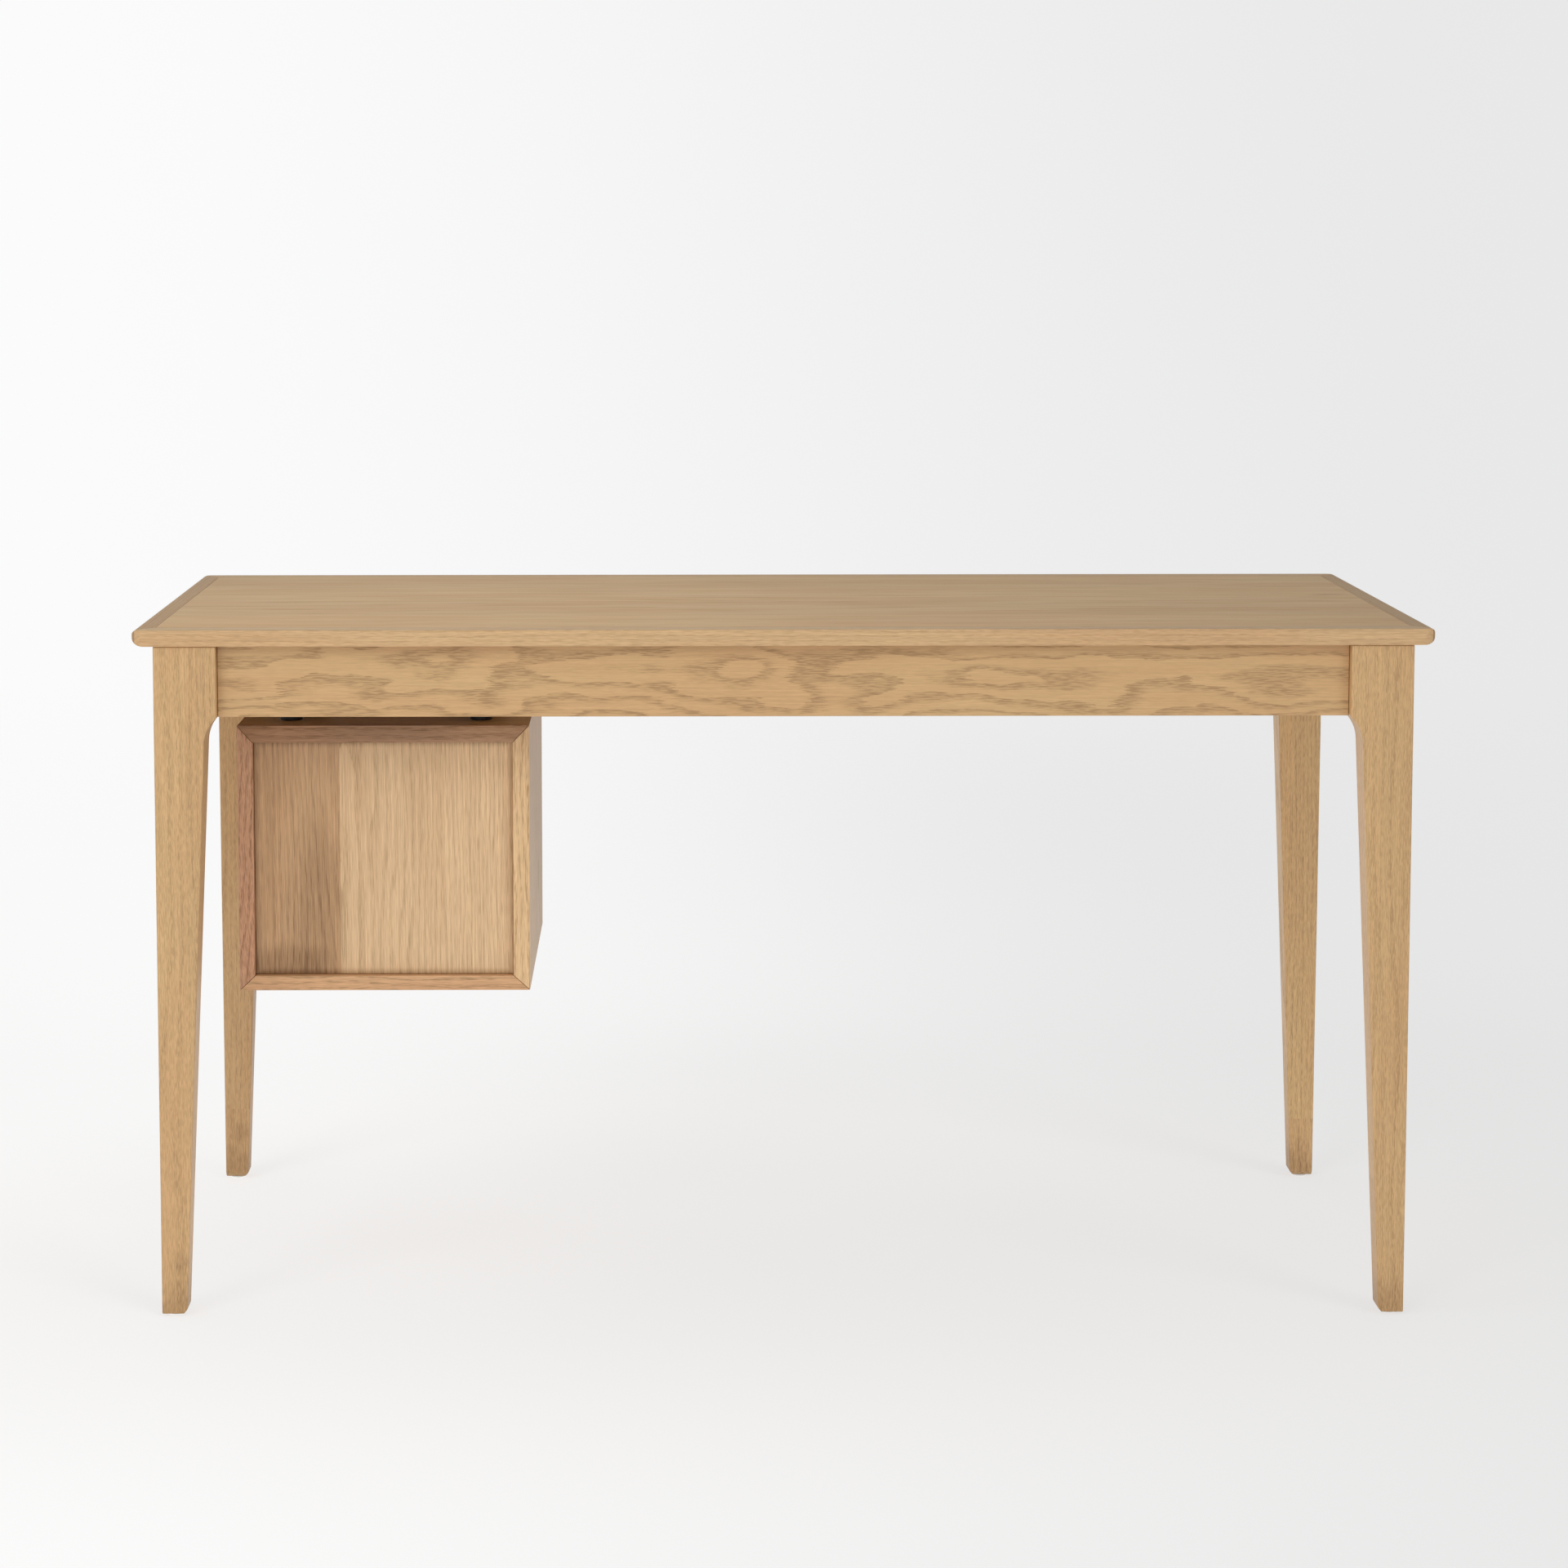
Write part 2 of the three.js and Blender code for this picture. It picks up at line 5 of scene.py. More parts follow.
import bmesh
import bpy
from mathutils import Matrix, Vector

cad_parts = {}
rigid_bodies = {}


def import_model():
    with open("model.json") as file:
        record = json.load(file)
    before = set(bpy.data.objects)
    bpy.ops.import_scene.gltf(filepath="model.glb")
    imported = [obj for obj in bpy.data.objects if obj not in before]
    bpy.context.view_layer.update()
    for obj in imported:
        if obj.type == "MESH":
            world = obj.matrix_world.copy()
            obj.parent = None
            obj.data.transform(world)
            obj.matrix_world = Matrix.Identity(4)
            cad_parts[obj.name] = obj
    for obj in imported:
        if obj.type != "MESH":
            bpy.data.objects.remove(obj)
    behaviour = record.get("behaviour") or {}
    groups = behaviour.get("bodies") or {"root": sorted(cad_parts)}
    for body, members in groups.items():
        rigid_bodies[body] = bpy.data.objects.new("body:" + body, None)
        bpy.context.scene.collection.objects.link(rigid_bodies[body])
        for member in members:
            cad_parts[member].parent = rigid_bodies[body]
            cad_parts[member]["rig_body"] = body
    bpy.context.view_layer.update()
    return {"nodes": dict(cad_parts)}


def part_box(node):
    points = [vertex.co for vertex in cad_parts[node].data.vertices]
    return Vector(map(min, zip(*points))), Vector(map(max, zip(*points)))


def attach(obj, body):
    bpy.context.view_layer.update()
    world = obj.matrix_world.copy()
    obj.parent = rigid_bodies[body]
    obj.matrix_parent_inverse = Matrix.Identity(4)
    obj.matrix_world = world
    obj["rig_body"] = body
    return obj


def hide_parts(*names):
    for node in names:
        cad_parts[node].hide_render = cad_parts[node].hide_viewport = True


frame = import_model()
nodes = frame["nodes"]
scene = bpy.context.scene
mm = 0.001
print("frame loaded:", len(nodes), "nodes")


# settings that many nodes share
softStep = {"interpolation_type": "SMOOTHSTEP"}
colourMix = {"data_type": "RGBA"}


def linear(hexColour):
    # sRGB hex to the linear values that shaders and lamps want
    parts = [int(hexColour[i:i + 2], 16) / 255 for i in (1, 3, 5)]
    return [c / 12.92 if c <= 0.04045 else ((c + 0.055) / 1.055) ** 2.4 for c in parts] + [1.0]


def addNode(tree, kind, settings=None, links=None, output=0):
    # links: input name or index -> a value, or an output of another node; returns one of its own outputs
    node = tree.nodes.new(kind)
    for key, value in (settings or {}).items():
        setattr(node, key, value)
    for key, value in (links or {}).items():
        if isinstance(value, bpy.types.NodeSocket):
            tree.links.new(value, node.inputs[key])
        else:
            node.inputs[key].default_value = value
    return node.outputs[output] if len(node.outputs) else None


def newMaterial(name):
    material = bpy.data.materials.new(name)
    material.use_nodes = True
    tree = material.node_tree
    tree.nodes.clear()
    surface = addNode(tree, "ShaderNodeBsdfPrincipled")
    addNode(tree, "ShaderNodeOutputMaterial", links={"Surface": surface})
    return material, tree, surface.node


def boxCentre(name):
    low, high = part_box(name)
    return (low + high) / 2


def bodyOf(name):
    return nodes[name]["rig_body"]


camera = {
    "place": (0.1185, 3.8705, 1.2061),   # metres: behind the desk, a little above the top
    "pitch": -4.916,                     # degrees from level
    "yaw": 0.069,
    "roll": 0.074,
    "lens": 76.7,                        # mm, on a 36 mm sensor
    "shift": (0.0677, -0.1779),
}


def makeCamera():
    data = bpy.data.cameras.new("camera")
    data.sensor_width = 36
    data.lens = camera["lens"]
    data.shift_x, data.shift_y = camera["shift"]
    data.clip_end = 200
    view = bpy.data.objects.new("camera", data)
    scene.collection.objects.link(view)
    view.location = camera["place"]
    tilt, roll, turn = (math.radians(a) for a in (90 + camera["pitch"], camera["roll"], 180 - camera["yaw"]))
    view.rotation_euler = (tilt, roll, turn)
    scene.camera = view


makeCamera()


# studio: a wall of light all round, a pale floor, two lamps in front and a softbox over the +X end
studio = {
    "skyLeft": "#FBFBFB",        # the wall of light, brighter at the desk's +X end
    "skyRight": "#E8E8E8",
    "skyTop": "#A8A8A8",         # it dims overhead, and far round on the -X side
    # where it changes, as the X or the Z of the direction looked in
    "acrossWall": (-0.27, 0.2),
    "overhead": (0.12, 0.6),
    "farRight": (-0.75, -0.3),
    "acrossFloor": (-1.0, 0.9),  # m
    "floorRadius": 9.0,          # m
    "floorGlow": 0.76,           # share of the floor's light that comes up through it
    "floorPaint": 0.36,          # how much it reflects
    # painted shadow: the floor's glow dims by a share inside this patch under the desk, which melts away from
    # the first to the second of its reaches
    "underDesk": {"centre": (0.45, 0.2, 0), "reach": (0.9, 0.55, 1), "melt": (0.2, 1.5), "dim": 0.1},
    "fadeFrom": 2.2,             # m from the desk, where the floor starts to melt into the wall
    "fadeTo": 5.5,
    "suns": [
        # name, degrees from +Y towards +X, degrees above the floor, strength, softness in degrees
        ("lamp_left", 36, 32, 0.47, 26),
        ("lamp_right", -44, 30, 0.51, 26),
    ],
    "softbox": {"place": (0.45, 0.3, 1.6), "size": 1.2, "power": 4.1},
}


def acrossColour(tree, coordinate, low, high, strength=1.0):
    # from the dim end to the bright end as the coordinate goes from low to high
    side = addNode(tree, "ShaderNodeMapRange", softStep,
                   {"Value": coordinate, "From Min": low, "From Max": high})
    dim, bright = ([c * strength for c in linear(studio[key])] for key in ("skyRight", "skyLeft"))
    return addNode(tree, "ShaderNodeMix", colourMix, {"Factor": side, "A": dim, "B": bright}, "Result")


def makeWall():
    world = bpy.data.worlds.new("studio")
    scene.world = world
    world.use_nodes = True
    tree = world.node_tree
    tree.nodes.clear()
    direction = addNode(tree, "ShaderNodeTexCoord", output="Generated")
    parts = addNode(tree, "ShaderNodeSeparateXYZ", links={0: direction}).node.outputs
    wall = acrossColour(tree, parts["X"], *studio["acrossWall"])
    topLow, topHigh = studio["overhead"]
    farLow, farHigh = studio["farRight"]
    overhead = addNode(tree, "ShaderNodeMapRange", softStep,
                       {"Value": parts["Z"], "From Min": topLow, "From Max": topHigh})
    farRight = addNode(tree, "ShaderNodeMapRange", softStep,
                       {"Value": parts["X"], "From Min": farLow, "From Max": farHigh,
                        "To Min": 1.0, "To Max": 0.0})
    dim = addNode(tree, "ShaderNodeMath", {"operation": "MAXIMUM"}, {0: overhead, 1: farRight})
    colour = addNode(tree, "ShaderNodeMix", colourMix,
                     {"Factor": dim, "A": wall, "B": linear(studio["skyTop"])}, "Result")
    sky = addNode(tree, "ShaderNodeBackground", links={"Color": colour})
    addNode(tree, "ShaderNodeOutputWorld", links={"Surface": sky})


def makeLamps():
    for name, azimuth, height, strength, softness in studio["suns"]:
        data = bpy.data.lights.new(name, "SUN")
        data.energy = strength
        data.angle = math.radians(softness)
        lamp = bpy.data.objects.new(name, data)
        scene.collection.objects.link(lamp)
        turn, rise = math.radians(azimuth), math.radians(height)
        source = Vector((math.sin(turn) * math.cos(rise), math.cos(turn) * math.cos(rise), math.sin(rise)))
        lamp.rotation_euler = source.to_track_quat("Z", "Y").to_euler()
    box = studio["softbox"]
    data = bpy.data.lights.new("softbox", "AREA")
    data.shape = "DISK"
    data.size = box["size"]
    data.energy = box["power"]
    lamp = bpy.data.objects.new("softbox", data)
    scene.collection.objects.link(lamp)
    lamp.location = box["place"]
    aim = Vector(box["place"]) - boxCentre("top_panel")
    lamp.rotation_euler = aim.to_track_quat("Z", "Y").to_euler()


def makeFloor():
    shape = bmesh.new()
    bmesh.ops.create_circle(shape, cap_ends=True, segments=128, radius=studio["floorRadius"])
    mesh = bpy.data.meshes.new("floor")
    shape.to_mesh(mesh)
    shape.free()
    floor = bpy.data.objects.new("floor", mesh)
    scene.collection.objects.link(floor)
    material = bpy.data.materials.new("lit white floor")
    material.use_nodes = True
    mesh.materials.append(material)
    tree = material.node_tree
    tree.nodes.clear()
    place = addNode(tree, "ShaderNodeTexCoord", output="Object")
    parts = addNode(tree, "ShaderNodeSeparateXYZ", links={0: place}).node.outputs
    glowColour = acrossColour(tree, parts["X"], *studio["acrossFloor"])
    paintColour = acrossColour(tree, parts["X"], *studio["acrossFloor"], studio["floorPaint"])
    # painted shadow under the desk: the floor's glow is dimmed inside a soft patch
    paintedShadow = studio["underDesk"]
    off = addNode(tree, "ShaderNodeVectorMath", {"operation": "SUBTRACT"}, {0: place, 1: paintedShadow["centre"]})
    off = addNode(tree, "ShaderNodeVectorMath", {"operation": "DIVIDE"}, {0: off, 1: paintedShadow["reach"]})
    out = addNode(tree, "ShaderNodeVectorMath", {"operation": "LENGTH"}, {0: off}, "Value")
    bright = studio["floorGlow"]
    meltLow, meltHigh = paintedShadow["melt"]
    # the painted shadow: weaker glow near the middle of the patch
    strength = addNode(tree, "ShaderNodeMapRange", softStep,
                       {"Value": out, "From Min": meltLow, "From Max": meltHigh,
                        "To Min": bright * (1 - paintedShadow["dim"]), "To Max": bright})
    glow = addNode(tree, "ShaderNodeEmission", links={"Color": glowColour, "Strength": strength})
    paint = addNode(tree, "ShaderNodeBsdfDiffuse", links={"Color": paintColour})
    both = addNode(tree, "ShaderNodeAddShader", links={0: glow, 1: paint})
    away = addNode(tree, "ShaderNodeVectorMath", {"operation": "LENGTH"}, {0: place}, "Value")
    fade = addNode(tree, "ShaderNodeMapRange", softStep,
                   {"Value": away, "From Min": studio["fadeFrom"], "From Max": studio["fadeTo"]})
    clear = addNode(tree, "ShaderNodeBsdfTransparent")
    surface = addNode(tree, "ShaderNodeMixShader", links={0: fade, 1: both, 2: clear})
    addNode(tree, "ShaderNodeOutputMaterial", links={"Surface": surface})


makeWall()
makeLamps()
makeFloor()
scene.view_settings.view_transform = "Standard"
print("studio and camera made")


# Satin lacquered European oak. Every board is cut from a log of its own: its figure is the distance from the
# log's middle, bent by slow waves, so flat-sawn faces show arches and rift-sawn faces show straight lines.
oakLook = {
    "light": "#D0AA78",
    "dark": "#8F6D45",        # open pores of the earlywood, greyish
    "warm": "#CDA070",        # slow drift of tone
    "grain": (1, 0, 0),
    "pith": (0, 0, -70),      # mm from the middle of the board to the middle of the log
    "ringWidth": 5.0,         # mm; real rings are 2 to 3 mm, drawn wider so the arches read
    "sway": 9.0,              # mm that the rings bend sideways
    "swayLength": 200.0,      # mm along the grain
    "swayWidth": 60.0,        # mm across it
    "jag": 9.0,               # mm, how far single rows of pores run past the edge of their band
    "poreLength": 14.0,       # mm; pores are 0.3 mm wide, drawn near 1 mm to show
    "poreWidth": 0.9,
    "bandDepth": 0.5,         # how dark the bands of pores are
    "dashDepth": 0.12,        # how dark the scattered dashes between them are
    "fibreDepth": 0.08,
    "fibreWidth": 1.4,        # mm
    "driftDepth": 0.5,
    "roughness": 0.42,
    "gloss": 0.45,            # a matt lacquer reflects a little less than bare resin
    "driftLength": 330.0,     # mm along the grain and across it, of the slow drift of tone
    "driftWidth": 38.0,
    "fibreLength": 140.0,     # mm
    "poreDull": 0.16,         # how much rougher than the lacquer a pore is
    "poreHollow": 0.12,       # mm, how deep it lies
    "coat": 0.08,             # a thin film of lacquer on top
    "coatRoughness": 0.32,
    # glued joints: axis, mm from the middle of the board, hop to another part of the log in mm, and how much
    # red, green and blue change there
    "joints": [],
    "rim": 0.0,               # painted shade along the edges of a panel, where it meets its frame
    "rimWidth": 8.0,          # mm
    # dark marks, such as small knots, and darker patches such as at a leg's foot: place from the middle of
    # the board, size, both mm, and depth
    "marks": [],
}


def grainNoise(tree, vector, length, width, detail, roughness=0.5):
    # noise drawn out along the grain; length and width in mm
    stretched = addNode(tree, "ShaderNodeVectorMath", {"operation": "MULTIPLY"},
                        {0: vector, 1: (1 / length, 1 / width, 1 / width)})
    return addNode(tree, "ShaderNodeTexNoise", {"noise_dimensions": "3D"},
                   {"Vector": stretched, "Scale": 1.0, "Detail": detail, "Roughness": roughness}, "Fac")


def joinBoards(tree, place, centre, joints):
    # past each glued joint the board comes from another part of the log, and its colour changes a little
    node = partial(addNode, tree)
    sides = node("ShaderNodeSeparateXYZ", links={0: place}).node.outputs
    board, tint = place, Vector((1, 1, 1))
    for axis, at, hop, change in joints:
        beyond = node("ShaderNodeMath", {"operation": "GREATER_THAN"},
                      {0: sides[axis], 1: centre[axis] + at * mm})
        step = node("ShaderNodeVectorMath", {"operation": "SCALE"}, {0: Vector(hop) * mm, "Scale": beyond})
        board = node("ShaderNodeVectorMath", {"operation": "ADD"}, {0: board, 1: step})
        shift = node("ShaderNodeVectorMath", {"operation": "SCALE"}, {0: change, "Scale": beyond})
        tint = node("ShaderNodeVectorMath", {"operation": "ADD"}, {0: tint, 1: shift})
    return board, tint


def markDepth(tree, place, centre, mark, poreNoise):
    # a dark mark, such as a knot, with a ragged edge
    node = partial(addNode, tree)
    at, size, depth = mark
    off = node("ShaderNodeVectorMath", {"operation": "SUBTRACT"}, {0: place, 1: centre + Vector(at) * mm})
    off = node("ShaderNodeVectorMath", {"operation": "DIVIDE"}, {0: off, 1: Vector(size) * mm})
    far = node("ShaderNodeVectorMath", {"operation": "LENGTH"}, {0: off}, "Value")
    far = node("ShaderNodeMath", {"operation": "SUBTRACT"}, {0: far, 1: 0.6})
    far = node("ShaderNodeMath", {"operation": "MULTIPLY_ADD"}, {0: poreNoise, 1: 1.2, 2: far})
    return node("ShaderNodeMapRange", softStep,
                {"Value": far, "From Min": 0.3, "From Max": 1.0, "To Min": depth, "To Max": 0.0})


def paintedRecessShade(tree, place, centre, look):
    # painted shade: a panel darkens along its edges, where it meets its frame
    node = partial(addNode, tree)
    sides = node("ShaderNodeSeparateXYZ", links={0: place}).node.outputs
    gaps = []
    for axis in (0, 2):
        low = centre[axis] - look["half"][axis]
        high = centre[axis] + look["half"][axis]
        below = node("ShaderNodeMath", {"operation": "SUBTRACT"}, {0: sides[axis], 1: low})
        above = node("ShaderNodeMath", {"operation": "SUBTRACT"}, {0: high, 1: sides[axis]})
        gaps.append(node("ShaderNodeMath", {"operation": "MINIMUM"}, {0: below, 1: above}))
    near = node("ShaderNodeMath", {"operation": "MINIMUM"}, {0: gaps[0], 1: gaps[1]})
    return node("ShaderNodeMapRange", softStep,
                {"Value": near, "From Min": 0.0, "From Max": look["rimWidth"] * mm,
                 "To Min": look["rim"], "To Max": 0.0})


def oak(name, centre, look):
    material, tree, shader = newMaterial(name)
    node = partial(addNode, tree)
    place = node("ShaderNodeTexCoord", output="Object")
    board, tint = joinBoards(tree, place, centre, look["joints"])
    turn = Vector((1, 0, 0)).rotation_difference(Vector(look["grain"])).to_euler()
    heart = centre + Vector(look["pith"]) * mm
    log = node("ShaderNodeMapping", {"vector_type": "TEXTURE"},
               {"Vector": board, "Location": heart, "Rotation": turn, "Scale": (mm, mm, mm)})

    # distance from the middle of the log, in rings
    crossways = node("ShaderNodeVectorMath", {"operation": "MULTIPLY"}, {0: log, 1: (0, 1, 1)})
    radius = node("ShaderNodeVectorMath", {"operation": "LENGTH"}, {0: crossways}, "Value")
    poreNoise = grainNoise(tree, log, look["poreLength"] * 3, look["poreWidth"], 2)
    slip = node("ShaderNodeMath", {"operation": "MULTIPLY"}, {0: poreNoise, 1: 4 * look["jag"]})
    slip = node("ShaderNodeCombineXYZ", links={"X": slip})
    slid = node("ShaderNodeVectorMath", {"operation": "ADD"}, {0: log, 1: slip})
    swayNoise = grainNoise(tree, slid, look["swayLength"], look["swayWidth"], 2)
    bent = node("ShaderNodeMath", {"operation": "MULTIPLY_ADD"},
                {0: swayNoise, 1: 4 * look["sway"], 2: radius})
    rings = node("ShaderNodeMath", {"operation": "DIVIDE"}, {0: bent, 1: look["ringWidth"]})
    within = node("ShaderNodeMath", {"operation": "FRACT"}, {0: rings})
    ringNumber = node("ShaderNodeMath", {"operation": "FLOOR"}, {0: rings})
    ringStrength = node("ShaderNodeTexWhiteNoise", {"noise_dimensions": "1D"}, {"W": ringNumber}, "Value")

    # the porous earlywood starts sharply and fades out over the first half of the ring
    band = node("ShaderNodeMapRange", softStep,
                {"Value": within, "From Min": 0.15, "From Max": 0.6, "To Min": 1.0, "To Max": 0.0})
    fineNoise = grainNoise(tree, log, look["poreLength"], look["poreWidth"], 1)
    dashes = node("ShaderNodeMapRange", softStep, {"Value": fineNoise, "From Min": 0.4, "From Max": 0.62})
    strength = node("ShaderNodeMath", {"operation": "MULTIPLY_ADD"}, {0: ringStrength, 1: 0.5, 2: 0.5})
    bandStrength = node("ShaderNodeMath", {"operation": "MULTIPLY"}, {0: band, 1: strength})
    openness = node("ShaderNodeMath", {"operation": "MULTIPLY_ADD"}, {0: dashes, 1: 0.6, 2: 0.4})
    pores = node("ShaderNodeMath", {"operation": "MULTIPLY"}, {0: bandStrength, 1: openness})
    darkness = node("ShaderNodeMath", {"operation": "MULTIPLY"}, {0: pores, 1: look["bandDepth"]})
    darkness = node("ShaderNodeMath", {"operation": "MULTIPLY_ADD"},
                    {0: dashes, 1: look["dashDepth"], 2: darkness})
    for mark in look["marks"]:
        depth = markDepth(tree, place, centre, mark, poreNoise)
        darkness = node("ShaderNodeMath", {"operation": "ADD"}, {0: darkness, 1: depth})
    # painted shade along the panel's edges, where it meets its frame
    if look["rim"]:
        depth = paintedRecessShade(tree, place, centre, look)
        darkness = node("ShaderNodeMath", {"operation": "ADD"}, {0: darkness, 1: depth})

    # slow drift of tone along the board, and fine fibres
    driftNoise = grainNoise(tree, log, look["driftLength"], look["driftWidth"], 2)
    drift = node("ShaderNodeMapRange", softStep, {"Value": driftNoise, "From Min": 0.35, "From Max": 0.65})
    drift = node("ShaderNodeMath", {"operation": "MULTIPLY"}, {0: drift, 1: look["driftDepth"]})
    fibres = grainNoise(tree, log, look["fibreLength"], look["fibreWidth"], 3, 0.6)
    depth = look["fibreDepth"]
    fibreTone = node("ShaderNodeMath", {"operation": "MULTIPLY_ADD"},
                     {0: fibres, 1: 4 * depth, 2: 1 - 2 * depth})
    colour = node("ShaderNodeMix", colourMix,
                  {"Factor": drift, "A": linear(look["light"]), "B": linear(look["warm"])}, "Result")
    colour = node("ShaderNodeMix", colourMix,
                  {"Factor": darkness, "A": colour, "B": linear(look["dark"])}, "Result")
    colour = node("ShaderNodeVectorMath", {"operation": "MULTIPLY"}, {0: colour, 1: tint})
    colour = node("ShaderNodeVectorMath", {"operation": "SCALE"}, {0: colour, "Scale": fibreTone})
    tree.links.new(colour, shader.inputs["Base Color"])

    # pores lie a little below the lacquer and are duller
    dull = node("ShaderNodeMath", {"operation": "MULTIPLY_ADD"},
                {0: pores, 1: look["poreDull"], 2: look["roughness"]})
    tree.links.new(dull, shader.inputs["Roughness"])
    hollows = node("ShaderNodeMath", {"operation": "ADD"}, {0: pores, 1: dashes})
    bump = node("ShaderNodeBump", {"invert": True},
                {"Height": hollows, "Strength": 0.3, "Distance": look["poreHollow"] * mm})
    tree.links.new(bump, shader.inputs["Normal"])
    shader.inputs["Specular IOR Level"].default_value = look["gloss"]
    shader.inputs["Coat Weight"].default_value = look["coat"]
    shader.inputs["Coat Roughness"].default_value = look["coatRoughness"]
    return material


def dress(name, material):
    mesh = nodes[name].data
    mesh.materials.clear()
    mesh.materials.append(material)
    mesh.polygons.foreach_set("material_index", [0] * len(mesh.polygons))


easing = {
    "weld": 0.01,       # mm, closer points are one
    "flat": 0.5,        # degrees, faces nearer than this to one plane are one face
    "sharp": 30,        # degrees, only edges sharper than this are rounded
    "evenness": 60,     # how strongly large faces stay flat in the shading
}


def easeEdges(board, width, segments=3):
    # welds the faceted solid, joins its flat faces and rounds its sharp edges
    weld = board.modifiers.new("weld", "WELD")
    weld.merge_threshold = easing["weld"] * mm
    flat = board.modifiers.new("flat faces", "DECIMATE")
    flat.decimate_type = "DISSOLVE"
    flat.angle_limit = math.radians(easing["flat"])
    bevel = board.modifiers.new("eased edges", "BEVEL")
    bevel.width = width * mm
    bevel.segments = segments
    bevel.limit_method = "ANGLE"
    bevel.angle_limit = math.radians(easing["sharp"])
    bevel.miter_outer = "MITER_ARC"
    normals = board.modifiers.new("even shading", "WEIGHTED_NORMAL")
    normals.weight = easing["evenness"]
    board.data.shade_smooth()


alongX, alongY, alongZ = (1, 0, 0), (0, 1, 0), (0, 0, 1)
towardsUser = (0, -1, 0)

boards = {}

# top: veneer leaves of rift oak, side by side from front to back, in a frame of solid oak
topLook = dict(light="#C1A275", warm="#BC9669", dark="#907049", gloss=0.25, roughness=0.55)
boards["top_panel"] = dict(
    topLook, edge=0.3, grain=(1, 0.006, 0), pith=(0, 60, -170), ringWidth=7, sway=7, swayLength=420,
    bandDepth=0.2, dashDepth=0.06, fibreDepth=0.08, poreLength=60, poreWidth=4, fibreWidth=7, driftDepth=0.8,
    joints=[(1, -130, (300, 20, 11), (0.03, 0.03, 0.02)), (1, 10, (900, 45, -7), (-0.04, -0.05, -0.05)),
            (1, 150, (-700, 15, 23), (0.04, 0.03, 0.02))],
    marks=[((-655, -50, 8), (26, 7, 9), 0.55), ((-640, -42, 8), (16, 4, 9), 0.4)])
for name, pith in (("top_edge_back", (0, -50, 60)), ("top_edge_front", (300, 50, 60))):
    boards[name] = dict(
        edge=1.1, grain=alongX, pith=pith, ringWidth=4, sway=2, swayLength=300, bandDepth=0.25, dashDepth=0.2,
        fibreDepth=0.12, light="#D3AF82", warm="#CFA478", gloss=0.3, roughness=0.5,
        joints=[(2, 8.6, (0, 0, 0), (-0.22, -0.2, -0.22))])   # the upper face is the darker part
for name, pith in (("top_end_left", (60, 0, 50)), ("top_end_right", (-60, 200, 50))):
    boards[name] = dict(
        topLook, light="#AC8C64", warm="#A6845C", dark="#86694A", edge=0.6, grain=alongY, pith=pith,
        ringWidth=4, sway=2, bandDepth=0.12, dashDepth=0.08, fibreDepth=0.05)

# aprons: flat-sawn, with bold arches lying on their sides
apronLook = dict(edge=0.9, ringWidth=5.0, sway=6.5, swayLength=170, swayWidth=55, bandDepth=0.8,
                 dashDepth=0.1, fibreDepth=0.1, poreWidth=1.2)
boards["apron_back"] = dict(apronLook, grain=(1, 0, 0.003), pith=(-400, -85, 4))
boards["apron_front"] = dict(apronLook, grain=(1, 0, -0.003), pith=(700, 85, -6))
boards["apron_left"] = dict(apronLook, grain=alongY, pith=(85, 300, 8))
boards["apron_right"] = dict(apronLook, grain=alongY, pith=(-85, 900, -8))

# legs: rift-sawn, glued up from two boards, with a piece glued on at the foot of the front pair
legLook = dict(edge=1.3, grain=(0.004, 0.003, 1), ringWidth=5.0, sway=4, swayLength=300, swayWidth=40,
               jag=8, bandDepth=0.3, dashDepth=0.3, fibreDepth=0.12, poreLength=9, poreWidth=0.75,
               fibreWidth=1.1)
footJoint = -(boxCentre("leg_front_right").z / mm)   # from the middle of a leg down to the floor
for name, pith, hop, footHeight in (
        ("leg_back_left", (-52, -60, 0), (0, 30, 400), None),
        ("leg_back_right", (60, -58, 300), (9, 20, 200), None),
        ("leg_front_left", (-55, 62, 700), (12, 40, 100), 76),
        ("leg_front_right", (58, 57, 1100), (9, 8, 300), 91)):
    joints = [(0, 0, hop, (0.05, 0.05, 0.05))]
    # the legs grow darker towards the foot
    marks = [((0, 0, footJoint), (70, 70, 60), 0.45), ((14, 0, footJoint + 60), (14, 60, 18), 0.35)]
    if footHeight:
        joints.append((2, footJoint + footHeight, (14, 25, 500), (0.03, 0.05, 0.05)))
    boards[name] = dict(legLook, pith=pith, joints=joints, marks=marks)
boards["leg_front_right"].update(light="#C49E70", warm="#BE9466")

# pedestal: case boards whose edges show as a mitred frame, and a back panel of three leaves
caseLook = dict(edge=0.6, ringWidth=5.0, sway=4, swayLength=160, bandDepth=0.6, dashDepth=0.25,
                fibreDepth=0.12)
backLipping = 167   # mm behind the middle of a case board, where its lipping starts
boards["pedestal_top"] = dict(caseLook, grain=alongX, pith=(0, -60, 50), light="#D1B086", warm="#C8A078",
                              joints=[(1, backLipping, (0, 0, 0), (-0.1, -0.19, -0.1))])
boards["pedestal_bottom"] = dict(caseLook, grain=alongX, pith=(500, -40, -60),
                                 light="#DCAC7E", warm="#CE9A6E")
boards["pedestal_side_outer"] = dict(
    caseLook, dashDepth=0.4, grain=(0.03, 0.05, 1), pith=(70, -70, 0), light="#D1B086", warm="#CBA27A",
    joints=[(1, backLipping, (0, 0, 0), (0.08, -0.1, -0.03))])
boards["pedestal_side_inner"] = dict(
    caseLook, grain=alongZ, pith=(-40, -60, 400), light="#D1B086", warm="#CDA87F",
    joints=[(1, backLipping, (30, 20, 100), (0.34, 0.33, 0.31))])
